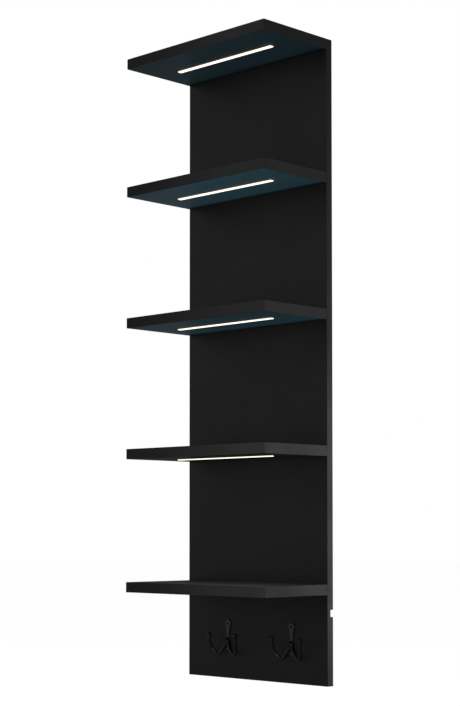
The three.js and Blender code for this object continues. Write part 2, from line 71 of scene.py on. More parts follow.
class Nodes:
    """Builds one material's node tree, with short calls for the nodes used here."""

    def __init__(self, name):
        self.material = bpy.data.materials.new(name)
        self.material.use_nodes = True
        self.tree = self.material.node_tree
        self.shader = self.tree.nodes["Principled BSDF"]
        self.place = self.add("ShaderNodeTexCoord").outputs["Object"]

    def add(self, kind, **settings):
        node = self.tree.nodes.new(kind)
        for key, value in settings.items():
            setattr(node, key, value)
        return node

    def link(self, source, target):
        self.tree.links.new(source, target)

    def fill(self, target, value):
        if isinstance(value, bpy.types.NodeSocket):
            self.link(value, target)
        else:
            target.default_value = value

    def split(self, axis):
        """One coordinate of the place on the object."""
        node = self.add("ShaderNodeSeparateXYZ")
        self.link(self.place, node.inputs[0])
        return node.outputs[axis]

    def noise(self, scale, detail=2.0, roughness=0.5, stretch=(1, 1, 1)):
        node = self.add("ShaderNodeTexNoise")
        node.inputs["Scale"].default_value = scale
        node.inputs["Detail"].default_value = detail
        node.inputs["Roughness"].default_value = roughness
        place = self.place
        if tuple(stretch) != (1, 1, 1):
            mapping = self.add("ShaderNodeMapping")
            mapping.inputs["Scale"].default_value = stretch
            self.link(place, mapping.inputs["Vector"])
            place = mapping.outputs["Vector"]
        self.link(place, node.inputs["Vector"])
        return node.outputs["Fac"]

    def cells(self, scale, feature="F1", stretch=(1, 1, 1)):
        node = self.add("ShaderNodeTexVoronoi", feature=feature)
        node.inputs["Scale"].default_value = scale
        mapping = self.add("ShaderNodeMapping")
        mapping.inputs["Scale"].default_value = stretch
        self.link(self.place, mapping.inputs["Vector"])
        self.link(mapping.outputs["Vector"], node.inputs["Vector"])
        return node

    def spread(self, source, low, high, start=0.0, end=1.0):
        """source, between start and end, as a number between low and high."""
        node = self.add("ShaderNodeMapRange")
        self.link(source, node.inputs["Value"])
        node.inputs["From Min"].default_value = start
        node.inputs["From Max"].default_value = end
        node.inputs["To Min"].default_value = low
        node.inputs["To Max"].default_value = high
        return node.outputs["Result"]

    def blend(self, share, first, second):
        """A colour between first and second."""
        node = self.add("ShaderNodeMix", data_type="RGBA")
        self.fill(node.inputs["Factor"], share)
        for socket, value in (("A", first), ("B", second)):
            target = next(i for i in node.inputs if i.name == socket and i.type == "RGBA")
            self.fill(target, value if isinstance(value, bpy.types.NodeSocket) else (*value, 1))
        return next(o for o in node.outputs if o.type == "RGBA")

    def compute(self, operation, first, second=0.0):
        node = self.add("ShaderNodeMath", operation=operation)
        self.fill(node.inputs[0], first)
        self.fill(node.inputs[1], second)
        return node.outputs[0]

    def sum(self, first, second):
        return self.compute("ADD", first, second)

    def from_middle(self, axis, low, high):
        """How far out a place lies from the middle of low and high, as a share of the way to either."""
        offset = self.compute("SUBTRACT", self.split(axis), (low + high) / 2)
        return self.compute("ABSOLUTE", self.compute("DIVIDE", offset, (high - low) / 2))

    def bump(self, *layers):
        """Each layer is (height, depth in metres); they add up."""
        normal = None
        for height, depth in layers:
            node = self.add("ShaderNodeBump")
            node.inputs["Strength"].default_value = 1.0
            node.inputs["Distance"].default_value = depth
            self.link(height, node.inputs["Height"])
            if normal is not None:
                self.link(normal, node.inputs["Normal"])
            normal = node.outputs["Normal"]
        self.link(normal, self.shader.inputs["Normal"])

    def set(self, **values):
        """Sets shader inputs: base_color=..., roughness=... and so on."""
        for key, value in values.items():
            socket = self.shader.inputs[key.replace("_", " ").title().replace("Ior", "IOR")]
            if isinstance(value, tuple):
                value = (*value, 1)
            self.fill(socket, value)
        return self


# ---------------------------------------------------------------- materials


def laminate():
    """Matt black melamine: a fine pearl grain, small gloss changes and a few pale specks of dust."""
    n = Nodes("black_melamine")
    grain = n.cells(900, "SMOOTH_F1").outputs["Distance"]
    swell = n.noise(34, 3)
    smudge = n.noise(4.5, 4, 0.6)
    speck = n.noise(420, 1)
    tone = n.blend(n.spread(smudge, 0, 1, 0.35, 0.7), (0.0101, 0.0101, 0.0102), (0.0115, 0.0115, 0.0116))
    dust = n.spread(speck, 0, 0.5, 0.74, 0.84)
    n.set(base_color=n.blend(dust, tone, (0.03, 0.03, 0.03)))
    gloss = n.sum(n.spread(smudge, 0.465, 0.505, 0.3, 0.7), n.spread(swell, -0.01, 0.01, 0.3, 0.7))
    n.set(roughness=gloss, specular_ior_level=0.42)
    n.bump((grain, 0.05 * MM), (swell, 0.01 * MM))
    return n.material


def edge_band():
    """ABS edging: as black as the boards but smoother, with faint lines from the planer along it."""
    n = Nodes("black_edging")
    lines = n.noise(160, 2, 0.5, (0.04, 0.04, 5))
    smudge = n.noise(9, 3, 0.6)
    n.set(base_color=n.blend(smudge, (0.0096, 0.0096, 0.0098), (0.0132, 0.0132, 0.0134)))
    n.set(roughness=n.spread(smudge, 0.36, 0.46, 0.3, 0.7), specular_ior_level=0.45)
    n.bump((lines, 0.02 * MM))
    return n.material


def chipboard():
    """Raw chipboard, where a board was cut: flat chips of several browns, with gaps between."""
    n = Nodes("raw_chipboard")
    chips = n.cells(260, "F1", (1, 1, 2.2))
    gaps = n.cells(260, "DISTANCE_TO_EDGE", (1, 1, 2.2)).outputs["Distance"]
    fibres = n.noise(900, 3, 0.6, (1, 1, 0.2))
    ramp = n.add("ShaderNodeValToRGB")
    n.link(chips.outputs["Color"], ramp.inputs["Fac"])
    stops = ((0.0, (0.16, 0.095, 0.05)), (0.45, (0.3, 0.2, 0.115)), (1.0, (0.44, 0.32, 0.2)))
    ramp.color_ramp.elements[0].position, ramp.color_ramp.elements[1].position = stops[0][0], stops[2][0]
    ramp.color_ramp.elements.new(stops[1][0])
    for element, (_, colour) in zip(ramp.color_ramp.elements, stops):
        element.color = (*colour, 1)
    shade = n.spread(gaps, 0.35, 1, 0, 0.06)
    dark = n.blend(shade, (0.07, 0.045, 0.028), ramp.outputs["Color"])
    n.set(base_color=n.blend(n.spread(fibres, 0, 0.35, 0.3, 0.7), dark, (0.2, 0.13, 0.075)))
    n.set(roughness=n.spread(fibres, 0.75, 0.95), specular_ior_level=0.25)
    n.bump((gaps, 0.4 * MM), (fibres, 0.15 * MM))
    return n.material


def anodised():
    """Black anodised extrusion, with die lines along X."""
    n = Nodes("black_anodised")
    lines = n.noise(900, 2, 0.5, (0.01, 1, 1))
    cloud = n.noise(25, 2)
    n.set(base_color=n.blend(cloud, (0.018, 0.018, 0.02), (0.03, 0.03, 0.033)), metallic=1.0)
    n.set(roughness=n.sum(n.spread(lines, 0.3, 0.42), n.spread(cloud, -0.03, 0.03)))
    n.bump((lines, 0.02 * MM))
    return n.material


def moulded(name, dark, pale):
    """Moulded plastic with a spark-eroded grain."""
    n = Nodes(name)
    grain = n.noise(1400, 2, 0.6)
    flow = n.noise(30, 2)
    n.set(base_color=n.blend(flow, dark, pale), roughness=n.spread(grain, 0.42, 0.62, 0.3, 0.7))
    n.bump((grain, 0.05 * MM))
    return n.material


def opal():
    """Lit opal acrylic: brightest along its middle, with a faint warm fall towards its edges and ends."""
    n = Nodes("lit_opal")
    ripple = n.noise(240, 2)
    low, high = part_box("light_diffuser_top")
    ends = n.compute("POWER", n.from_middle(0, low.x, high.x), END_FALL)
    edges = n.compute("POWER", n.from_middle(1, low.y, high.y), EDGE_FALL)
    fall = n.compute("MAXIMUM", edges, ends)
    colour = n.blend(n.spread(fall, 0, 1, 0.3, 1), (1.0, 0.955, 0.87), (1.0, 0.83, 0.62))
    n.set(base_color=(0.86, 0.84, 0.79), roughness=n.spread(ripple, 0.3, 0.38))
    n.set(emission_color=colour, emission_strength=LED_GLOW)
    n.bump((ripple, 0.01 * MM))
    return n.material


def solder_mask():
    """White circuit board, with faint copper tracks under the mask along X."""
    n = Nodes("white_board")
    tracks = n.cells(170, "DISTANCE_TO_EDGE", (0.05, 1, 1)).outputs["Distance"]
    cloud = n.noise(80, 2)
    n.set(base_color=n.blend(n.spread(tracks, 0, 1, 0, 0.08), (0.66, 0.64, 0.58), (0.8, 0.79, 0.75)))
    n.set(roughness=n.spread(cloud, 0.3, 0.45))
    n.bump((tracks, 0.04 * MM))
    return n.material


def phosphor():
    """Yellow phosphor of an LED chip."""
    n = Nodes("led_phosphor")
    grains = n.noise(3000, 2)
    n.set(base_color=n.blend(grains, (0.78, 0.62, 0.12), (0.86, 0.74, 0.25)), roughness=0.4)
    n.bump((grains, 0.02 * MM))
    return n.material


def sheath():
    """Soft cable sheath, a little uneven along its length."""
    n = Nodes("lead_sheath")
    sag = n.noise(60, 2)
    matt = n.noise(900, 2)
    n.set(base_color=n.blend(sag, (0.022, 0.022, 0.024), (0.04, 0.04, 0.042)))
    n.set(roughness=n.spread(matt, 0.45, 0.6), specular_ior_level=0.4)
    n.bump((matt, 0.02 * MM), (sag, 0.05 * MM))
    return n.material


def cast():
    """Black stoved coating on a sand casting: soft waves with a fine orange peel over them."""
    n = Nodes("black_casting")
    peel = n.noise(650, 2, 0.5)
    sand = n.noise(160, 3, 0.6)
    n.set(base_color=n.blend(sand, (0.0065, 0.0065, 0.0068), (0.0115, 0.0115, 0.012)))
    n.set(roughness=n.spread(sand, 0.3, 0.42, 0.3, 0.7), specular_ior_level=0.5)
    n.set(coat_weight=0.25, coat_roughness=0.22)
    n.bump((sand, 0.1 * MM), (peel, 0.05 * MM))
    return n.material


def plated(name, dark, pale, rough):
    """Plated or blackened steel: small crystals and turning marks."""
    n = Nodes(name)
    crystals = n.cells(700).outputs["Distance"]
    cloud = n.noise(120, 3)
    n.set(base_color=n.blend(cloud, dark, pale), metallic=1.0)
    n.set(roughness=n.sum(n.spread(crystals, rough - 0.06, rough + 0.06), n.spread(cloud, -0.05, 0.05)))
    n.bump((crystals, 0.02 * MM), (cloud, 0.02 * MM))
    return n.material


LED_GLOW = 1.6  # emission strength of the diffusers
END_FALL = 14.0  # powers of the glow's fall towards a diffuser's ends and its long edges
EDGE_FALL = 2.0

LAMINATE = laminate()
EDGING = edge_band()
CHIPBOARD = chipboard()
ANODISED = anodised()
BLACK_PLASTIC = moulded("black_moulding", (0.012, 0.012, 0.012), (0.018, 0.018, 0.018))
GREY_PLASTIC = moulded("grey_moulding", (0.56, 0.56, 0.54), (0.64, 0.64, 0.62))
OPAL = opal()
WHITE_BOARD = solder_mask()
PHOSPHOR = phosphor()
SHEATH = sheath()
CASTING = cast()
ZINC = plated("zinc_plate", (0.5, 0.51, 0.53), (0.66, 0.67, 0.69), 0.3)
BLACK_STEEL = plated("blackened_steel", (0.02, 0.02, 0.02), (0.04, 0.04, 0.042), 0.38)

# ---------------------------------------------------------------- mesh helpers
SHARP_EDGE = math.radians(30)


def add_piece(name, mesh, replaces=()):
    """Puts a finished mesh or curve in the scene as a piece of the object."""
    piece = bpy.data.objects.new(name, mesh)
    bpy.context.collection.objects.link(piece)
    if replaces:
        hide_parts(*replaces)
    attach(piece, "root")
    return piece


def to_mesh(name, form, *materials):
    mesh = bpy.data.meshes.new(name)
    form.to_mesh(mesh)
    form.free()
    for material in materials:
        mesh.materials.append(material)
    return mesh


def from_node(node):
    """The CAD node's own solid, with coplanar triangles merged into whole faces."""
    form = bmesh.new()
    form.from_mesh(NODES[node].data)
    bmesh.ops.remove_doubles(form, verts=form.verts, dist=0.01 * MM)
    bmesh.ops.dissolve_limit(form, angle_limit=math.radians(1), verts=form.verts, edges=form.edges)
    return form


def round_edges(piece, width, segments=2, smooth=True):
    """Softens the sharp edges by width, in metres."""
    bevel = piece.modifiers.new("soft_edges", "BEVEL")
    bevel.width = width
    bevel.segments = segments
    bevel.limit_method = "ANGLE"
    bevel.angle_limit = SHARP_EDGE
    bevel.harden_normals = smooth
    for polygon in piece.data.polygons:
        polygon.use_smooth = smooth


def softened(node, material, width, segments=2):
    """A piece with the CAD node's shape and softened edges, which stands for the node."""
    piece = add_piece(f"{node}_piece", to_mesh(node, from_node(node), material), [node])
    round_edges(piece, width, segments)


# ---------------------------------------------------------------- boards
BAND = 0.8 * MM  # thickness of the edging
BOARD_EDGE = 0.35 * MM  # width of a softened edge
ON_FACE = 0.05 * MM  # a point this close to a face lies on it


def band_strip(name, low, high):
    """A strip of edging that fills the box from low to high."""
    form = bmesh.new()
    rings = []
    for x in (low.x, high.x):
        section = ((low.y, low.z), (high.y, low.z), (high.y, high.z), (low.y, high.z))
        rings.append([form.verts.new((x, y, z)) for y, z in section])
    for i in range(4):
        j = (i + 1) % 4
        form.faces.new((rings[0][i], rings[0][j], rings[1][j], rings[1][i]))
    for ring in rings:
        form.faces.new(ring)
    bmesh.ops.recalc_face_normals(form, faces=form.faces)
    piece = add_piece(name, to_mesh(name, form, EDGING))
    round_edges(piece, BOARD_EDGE, smooth=False)


def board(node, banded):
    """A laminated board: the CAD solid with raw chipboard where it was cut, and edging round it.

    banded lists (axis, side) for each edge that has edging, with side 0 for the low one."""
    low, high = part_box(node)
    form = from_node(node)
    for face in form.faces:
        place = face.calc_center_median()
        outer = any(
            abs(face.normal[i]) > 0.99 and min(abs(place[i] - low[i]), abs(place[i] - high[i])) < ON_FACE
            for i in range(3)
        )
        face.material_index = 0 if outer else 1
    for vertex in form.verts:
        for axis, side in banded:
            edge = (low, high)[side][axis]
            if abs(vertex.co[axis] - edge) < ON_FACE:
                vertex.co[axis] += BAND if side == 0 else -BAND
    mesh = to_mesh(node, form, LAMINATE, CHIPBOARD)
    piece = add_piece(f"{node}_board", mesh, [node])
    round_edges(piece, BOARD_EDGE, smooth=False)


def shelf(name):
    node = f"shelf_{name}"
    low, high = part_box(node)
    board(node, [(0, 0), (0, 1), (1, 0)])
    band_strip(f"{node}_front_edging", low, Vector((high.x, low.y + BAND, high.z)))
    for side, x in (("left", low.x), ("right", high.x - BAND)):
        corner = Vector((x, low.y + BAND, low.z))
        band_strip(f"{node}_{side}_edging", corner, Vector((x + BAND, high.y, high.z)))


def back_panel():
    """The cable outlet cuts its right edging in two, so that side is in three strips."""
    low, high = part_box("back_panel")
    board("back_panel", [(0, 0), (0, 1), (2, 0), (2, 1)])
    band_strip("back_panel_foot_edging", low, Vector((high.x, high.y, low.z + BAND)))
    band_strip("back_panel_head_edging", Vector((low.x, low.y, high.z - BAND)), high)
    foot, head = low.z + BAND, high.z - BAND
    band_strip("back_panel_left_edging", Vector((low.x, low.y, foot)), Vector((low.x + BAND, high.y, head)))
    sill, lintel, depth = outlet()
    inner = high.x - BAND
    strips = (
        ("lower", (low.y, foot), (high.y, sill)),
        ("upper", (low.y, lintel), (high.y, head)),
        ("outlet", (low.y, sill), (depth, lintel)),
    )
    for name, (y0, z0), (y1, z1) in strips:
        band_strip(f"back_panel_{name}_right_edging", Vector((inner, y0, z0)), Vector((high.x, y1, z1)))


def outlet():
    """The cable outlet's lowest and highest point on the right edge, and where its floor lies along Y."""
    low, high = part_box("back_panel")
    corners = [v.co for v in NODES["back_panel"].data.vertices if abs(v.co.x - high.x) < ON_FACE]
    inner = [c for c in corners if low.y + ON_FACE < c.y < high.y - ON_FACE]
    heights = [c.z for c in inner]
    return min(heights), max(heights), inner[0].y


# ---------------------------------------------------------------- light bars
LED_STRIP = 1.6 * MM  # thickness of the circuit board


def light_bar(name):
    softened(f"light_housing_{name}", ANODISED, 0.18 * MM)
    softened(f"light_diffuser_{name}", OPAL, 0.3 * MM, segments=3)
    for side in SIDES:
        softened(f"light_end_cap_{name}_{side}", BLACK_PLASTIC, 0.4 * MM, segments=3)
    led_board(name)


def led_board(name):
    node = f"led_board_{name}"
    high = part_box(node)[1]
    form = from_node(node)
    for face in form.faces:
        chip = face.calc_center_median().z < high.z - LED_STRIP - ON_FACE
        face.material_index = 1 if chip else 0
    mesh = to_mesh(node, form, WHITE_BOARD, PHOSPHOR)
    piece = add_piece(f"{node}_piece", mesh, [node])
    round_edges(piece, 0.12 * MM)


# ---------------------------------------------------------------- leads
LEAD_BEND = 4.2 * MM


def tube(name, points, radius, node):
    """A round lead along points; bends are already in them."""
    curve = bpy.data.curves.new(name, "CURVE")
    curve.dimensions = "3D"
    curve.bevel_depth = radius
    curve.bevel_resolution = 4
    curve.use_fill_caps = True
    spline = curve.splines.new("POLY")
    spline.points.add(len(points) - 1)
    for knot, place in zip(spline.points, points):
        knot.co = (*place, 1)
    spline.use_smooth = True
    curve.materials.append(SHEATH)
    add_piece(name, curve, [node])


def light_lead(name):
    """Back through shelf and panel, round a bend and down the channel."""
    node = f"light_lead_{name}"
    low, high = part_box(node)
    radius = (high.x - low.x) / 2
    x, z, down = (low.x + high.x) / 2, high.z - radius, high.y - radius
    steps = 12
    turns = [math.pi / 2 * i / steps for i in range(steps + 1)]
    bend = [(x, down - LEAD_BEND * (1 - math.sin(a)), z - LEAD_BEND * (1 - math.cos(a))) for a in turns]
    tube(f"{node}_run", [(x, low.y, z), *bend, (x, down, low.z)], radius, node)


def driver_lead():
    low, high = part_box("driver_lead")
    middle = (low + high) / 2
    ends = [(middle.x, middle.y, z) for z in (low.z, middle.z, high.z)]
    tube("driver_lead_run", ends, (high.x - low.x) / 2, "driver_lead")


# ---------------------------------------------------------------- screws
SCREW_SIDES = 40
SHARP_TURN = math.radians(40)  # a screw's edges sharper than this aren't shaded smooth
THREAD_CORE = 0.72  # of the shank's radius
THREAD_PITCH = 1.1  # in radii of the shank, like the next
SCREW_TIP = 2.6
SCREW_NECK = 0.18  # of the length under the head
HEAD_LIP = 0.08  # of the head's radius
RECESS_DEPTH = 0.8  # of the head's height
RECESS_TAPER = 0.45


def lathe(form, profile, sides):
    """Turns (radius, height) points about +Y; points on the axis become single corners."""
    rings = []
    for radius, height in profile:
        if radius == 0:
            rings.append([form.verts.new((0, height, 0))])
            continue
        turns = [2 * math.pi * i / sides for i in range(sides)]
        ring = [(radius * math.cos(a), height, radius * math.sin(a)) for a in turns]
        rings.append([form.verts.new(place) for place in ring])
    for lower, upper in zip(rings, rings[1:]):
        for i in range(sides):
            j = (i + 1) % sides
            corners = [ring[k % len(ring)] for ring, k in ((lower, i), (lower, j), (upper, j), (upper, i))]
            unique = list(dict.fromkeys(corners))
            if len(unique) > 2:
                form.faces.new(unique)
    bmesh.ops.recalc_face_normals(form, faces=form.faces)


def screw_profile(length, shank, head, head_height):
    """From the point up: a tapered point, rings for a thread, a plain neck and a countersunk head."""
    core, plain = THREAD_CORE * shank, 1.1 * THREAD_CORE * shank
    pitch = THREAD_PITCH * shank
    profile = [(0, -length)]
    height = -length + 0.15 * shank
    neck = -head_height - SCREW_NECK * (length - head_height)
    while height + pitch < neck:
        grown = min(1, (height + length) / (SCREW_TIP * shank))
        root, crest = max(core * grown, 0.08 * shank), max(shank * grown, 0.1 * shank)
        profile += [(root, height), (crest, height + 0.42 * pitch), (crest, height + 0.52 * pitch)]
        height += pitch
    profile += [(core, height), (plain, neck + 0.3 * pitch), (plain, -head_height)]
    lip = HEAD_LIP * head
    profile += [(head - lip, -lip), (head, -0.6 * lip), (head, -0.2 * lip), (head - 0.6 * lip, 0), (0, 0)]
    return profile


def recess(form, drive, depth):
    """A cross-shaped pyramid, to be cut from a screw's head."""
    half, slot = drive / 2, drive / 8
    outline = []
    for quarter in range(4):
        turn = Matrix.Rotation(-quarter * math.pi / 2, 3, "Y")
        for x, z in ((half, -slot), (half, slot), (slot * 1.3, slot * 1.3)):
            outline.append(turn @ Vector((x, 0, z)))
    top = [form.verts.new(p + Vector((0, 0.2 * MM, 0))) for p in outline]
    foot = [form.verts.new((p.x * RECESS_TAPER, -depth, p.z * RECESS_TAPER)) for p in outline]
    form.faces.new(top)
    form.faces.new(list(reversed(foot)))
    for i in range(len(outline)):
        j = (i + 1) % len(outline)
        form.faces.new((top[i], foot[i], foot[j], top[j]))
    bmesh.ops.recalc_face_normals(form, faces=form.faces)


def carve(piece, cutter):
    """Cuts the cutter's shape from the piece, for good."""
    modifier = piece.modifiers.new("carve", "BOOLEAN")
    modifier.operation = "DIFFERENCE"
    modifier.object = cutter
    modifier.solver = "EXACT"
    bpy.context.view_layer.update()
    solid = bpy.data.meshes.new_from_object(piece.evaluated_get(bpy.context.evaluated_depsgraph_get()))
    piece.modifiers.remove(modifier)
    bpy.data.objects.remove(cutter)
    return solid


def screw_mesh(name, node, head, head_height, shank, drive, material, facing):
    """One screw, drawn with its head's face at the origin and its point along -Y * facing."""
    low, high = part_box(node)
    form = bmesh.new()
    lathe(form, screw_profile(high.y - low.y, shank, head, head_height), SCREW_SIDES)
    blank = bpy.data.objects.new(name, to_mesh(name, form, material))
    hollow = bmesh.new()
    recess(hollow, drive, head_height * RECESS_DEPTH)
    tool = bpy.data.objects.new(f"{name}_tool", to_mesh(f"{name}_tool", hollow, material))
    for item in (blank, tool):
        bpy.context.collection.objects.link(item)
    mesh = carve(blank, tool)
    bpy.data.objects.remove(blank)
    mesh.name = name
    mesh.transform(Matrix.Scale(facing, 4, (0, 1, 0)))
    if facing < 0:
        mesh.flip_normals()
    mesh.shade_smooth()
    mesh.set_sharp_from_angle(angle=SHARP_TURN)
    return mesh


def place_screws(nodes, mesh, facing):
    for node in nodes:
        low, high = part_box(node)
        copy = mesh.copy()
        face = high.y if facing > 0 else low.y
        copy.transform(Matrix.Translation(((low.x + high.x) / 2, face, (low.z + high.z) / 2)))
        add_piece(f"{node}_piece", copy, [node])


def all_screws():
    """Each family's row: name, head radius, head height, shank radius and recess in mm, then its looks."""
    families = (
        ("shelf_screw", 5.8, 4, 3, 3.4, ZINC, "zinc_plated_steel", 1),
        ("hanger_screw", 3.6, 2, 1.75, 2.2, ZINC, "zinc_plated_steel", 1),
        ("driver_screw", 2.7, 1.4, 1.4, 1.8, ZINC, "zinc_plated_steel", 1),
        ("hook_screw", 3.8, 2.1, 1.9, 2.4, BLACK_STEEL, "black_screw", -1),
    )
    for family, head, head_height, shank, drive, material, slot, facing in families:
        nodes = sorted(n for n in NODES if n.startswith(family))
        sizes = [value * MM for value in (head, head_height, shank, drive)]
        place_screws(nodes, screw_mesh(family, nodes[0], *sizes, material, facing), facing)


# ---------------------------------------------------------------- coat hooks
LOBE = 12 * MM  # radius of the plate's two round ends
WAIST = 6 * MM
LOBE_WRAP = math.pi / 5
PLATE_HALF_LENGTH = 44 * MM
PLATE_DEPTH = 4 * MM
PLATE_CROWN = 1.6 * MM
PRONG = 4.6 * MM
BALL = 7.2 * MM
BOSS = 9 * MM
BOSS_DROP = 15 * MM
BUTTON = 0.5 * BOSS  # on the front of the boss
BUTTON_PROUD = 0.75 * BOSS
SKIN_VOXEL = 0.85 * MM
SHARP_CUT = math.radians(50)  # a hook's edges sharper than this aren't shaded smooth
SEAT_GAP = 0.3 * MM  # round a hook screw's head
SEAT_MOUTH = 3 * MM  # how far a seat is cut clear in front of the plate
HOOK_DROP = 57 * MM
PRONG_STEPS = 12  # to a span of the course
PRONG_SIDES = 20
COLLAR = 1.3 * PRONG
COLLAR_PLACE = -7  # among the points of a prong, counted from its ball
# Shares of a prong's spread, reach and drop, from the boss to the ball
PRONG_COURSE = (
    (0.0, 0.08, 0.28),
    (0.2, 0.3, 0.62),
    (0.57, 0.4, 1.0),
    (0.9, 0.7, 0.73),
    (1.0, 0.95, 0.33),
    (1.0, 1.0, 0.0),
)


def spline_points(knots, steps):
    """Points on a Catmull-Rom curve through the knots, steps to a span."""
    ends = [knots[0] * 2 - knots[1], *knots, knots[-1] * 2 - knots[-2]]
    points = []
    for a, b, c, d in zip(ends, ends[1:], ends[2:], ends[3:]):
        for i in range(steps):
            t = i / steps
            bend = (2 * a - 5 * b + 4 * c - d) * t**2 + (3 * b - a - 3 * c + d) * t**3
            points.append((2 * b + (c - a) * t + bend) / 2)
    return [*points, knots[-1]]


def sweep(form, points, radii):
    """A closed round bar along points, with its own radius at each."""
    rings = []
    across = Vector((0, 0, 1))
    for i, (place, radius) in enumerate(zip(points, radii)):
        ahead = (points[min(i + 1, len(points) - 1)] - points[max(i - 1, 0)]).normalized()
        across = (across - ahead * across.dot(ahead)).normalized()
        other = ahead.cross(across)
        turns = [2 * math.pi * k / PRONG_SIDES for k in range(PRONG_SIDES)]
        ring = [place + (across * math.cos(a) + other * math.sin(a)) * radius for a in turns]
        rings.append([form.verts.new(p) for p in ring])
    for lower, upper in zip(rings, rings[1:]):
        for k in range(PRONG_SIDES):
            m = (k + 1) % PRONG_SIDES
            form.faces.new((lower[k], lower[m], upper[m], upper[k]))
    form.faces.new(list(reversed(rings[0])))
    form.faces.new(rings[-1])


def dome(form, centre, radius, stretch=(1, 1, 1)):
    made = bmesh.ops.create_uvsphere(form, u_segments=28, v_segments=20, radius=radius)
    for vertex in made["verts"]:
        vertex.co = centre + Vector(vertex.co[i] * stretch[i] for i in range(3))


def quadratic(start, pull, end, steps):
    """Points between start and end, both left out, on a curve drawn towards pull."""
    shares = [i / steps for i in range(1, steps)]
    return [start * (1 - t) ** 2 + pull * 2 * t * (1 - t) + end * t**2 for t in shares]


def plate_outline(inset):
    """The plate's edge, moved in by inset: two round lobes with a drawn-in waist between them."""
    lobe, reach = LOBE - inset, PLATE_HALF_LENGTH - LOBE
    first, last, steps = -LOBE_WRAP, math.pi + LOBE_WRAP, 22
    turns = [first + (last - first) * i / steps for i in range(steps + 1)]
    upper = [Vector((lobe * math.cos(a), reach + lobe * math.sin(a))) for a in turns]
    lower = [-point for point in upper]
    pull = Vector((2 * (WAIST - inset) - lobe * math.cos(LOBE_WRAP), 0))
    left = quadratic(upper[-1], -pull, lower[0], 12)
    right = quadratic(lower[-1], pull, upper[0], 12)
    return [*upper, *left, *lower, *right]


def hook_plate(form, centre):
    """The plate's flat back, straight edge and crowned front."""
    layers = 6
    turns = [math.pi / 2 * layer / layers for layer in range(layers + 1)]
    crown = [(1 - math.cos(a), 1 - math.sin(a)) for a in turns]
    crown = [(PLATE_CROWN * inset, PLATE_DEPTH - PLATE_CROWN * fall) for inset, fall in crown]
    rings = []
    for inset, depth in [(0, 0), *crown]:
        ring = [centre + Vector((p.x, -depth, p.y)) for p in plate_outline(inset)]
        rings.append([form.verts.new(place) for place in ring])
    for lower, upper in zip(rings, rings[1:]):
        for i in range(len(lower)):
            j = (i + 1) % len(lower)
            form.faces.new((lower[i], lower[j], upper[j], upper[i]))
    form.faces.new(list(reversed(rings[0])))
    form.faces.new(rings[-1])


def prong(form, centre, hand, spread, reach):
    """Thick at the boss, thinner in the crook, with a collar under its ball."""
    drop = HOOK_DROP - PRONG
    knots = []
    for out, ahead, down in PRONG_COURSE:
        knots.append(centre + Vector((hand * out * spread, -ahead * reach, -down * drop)))
    points = spline_points(knots, PRONG_STEPS)
    shares = [i / (len(points) - 1) for i in range(len(points))]
    radii = [PRONG * (1.12 - 0.26 * s + 0.14 * math.sin(math.pi * s) ** 2) for s in shares]
    sweep(form, points, radii)
    dome(form, points[-1], BALL)
    dome(form, points[COLLAR_PLACE], COLLAR, (1, 1, 0.5))


def hook(side):
    """One casting: plate, boss with a button on it, and two prongs."""
    node = f"coat_hook_{side}"
    low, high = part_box(node)
    centre = Vector(((low.x + high.x) / 2, high.y, high.z - PLATE_HALF_LENGTH))
    form = bmesh.new()
    hook_plate(form, centre)
    boss = centre + Vector((0, -PLATE_DEPTH, -BOSS_DROP))
    dome(form, boss, BOSS)
    dome(form, boss + Vector((0, -BUTTON_PROUD, 0)), BUTTON)
    for hand in (-1, 1):
        prong(form, centre, hand, (high.x - low.x) / 2 - BALL, high.y - low.y - BALL)
    bmesh.ops.recalc_face_normals(form, faces=form.faces)
    melt(node, form, high.y, screw_seats(side))


def screw_seats(side):
    """Countersunk holes for the hook's two screws, to be cut from its plate."""
    form = bmesh.new()
    for end in ("lower", "upper"):
        low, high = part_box(f"hook_screw_{side}_{end}")
        wide = (high.x - low.x) / 2 + SEAT_GAP
        narrow = wide / 2
        deep = PLATE_DEPTH + MM
        mouth = [(0, -SEAT_MOUTH), (wide, -SEAT_MOUTH), (wide, 0)]
        profile = [*mouth, (narrow, wide - narrow), (narrow, deep), (0, deep)]
        drawn = len(form.verts)
        lathe(form, profile, SCREW_SIDES)
        form.verts.ensure_lookup_table()
        place = ((low.x + high.x) / 2, low.y, (low.z + high.z) / 2)
        bmesh.ops.translate(form, verts=form.verts[drawn:], vec=place)
    return form


def melt(node, form, back, hollows):
    """Joins the overlapping forms into one filleted skin, flattens its back and cuts the hollows."""
    blank = bpy.data.objects.new(f"{node}_blank", to_mesh(f"{node}_blank", form, CASTING))
    bpy.context.collection.objects.link(blank)
    remesh = blank.modifiers.new("skin", "REMESH")
    remesh.mode = "VOXEL"
    remesh.voxel_size = SKIN_VOXEL
    smooth = blank.modifiers.new("fillet", "SMOOTH")
    smooth.factor = 0.6
    smooth.iterations = 7
    bpy.context.view_layer.update()
    mesh = bpy.data.meshes.new_from_object(blank.evaluated_get(bpy.context.evaluated_depsgraph_get()))
    bpy.data.objects.remove(blank)
    for vertex in mesh.vertices:
        vertex.co.y = min(vertex.co.y, back)
    skin = bpy.data.objects.new(f"{node}_skin", mesh)
    tool = bpy.data.objects.new(f"{node}_tool", to_mesh(f"{node}_tool", hollows, CASTING))
    for item in (skin, tool):
        bpy.context.collection.objects.link(item)
    mesh = carve(skin, tool)
    bpy.data.objects.remove(skin)
    mesh.name = f"{node}_casting"
    mesh.materials.clear()
    mesh.materials.append(CASTING)
    mesh.shade_smooth()
    mesh.set_sharp_from_angle(angle=SHARP_CUT)
    add_piece(f"{node}_casting", mesh, [node])


# ---------------------------------------------------------------- driver and small parts


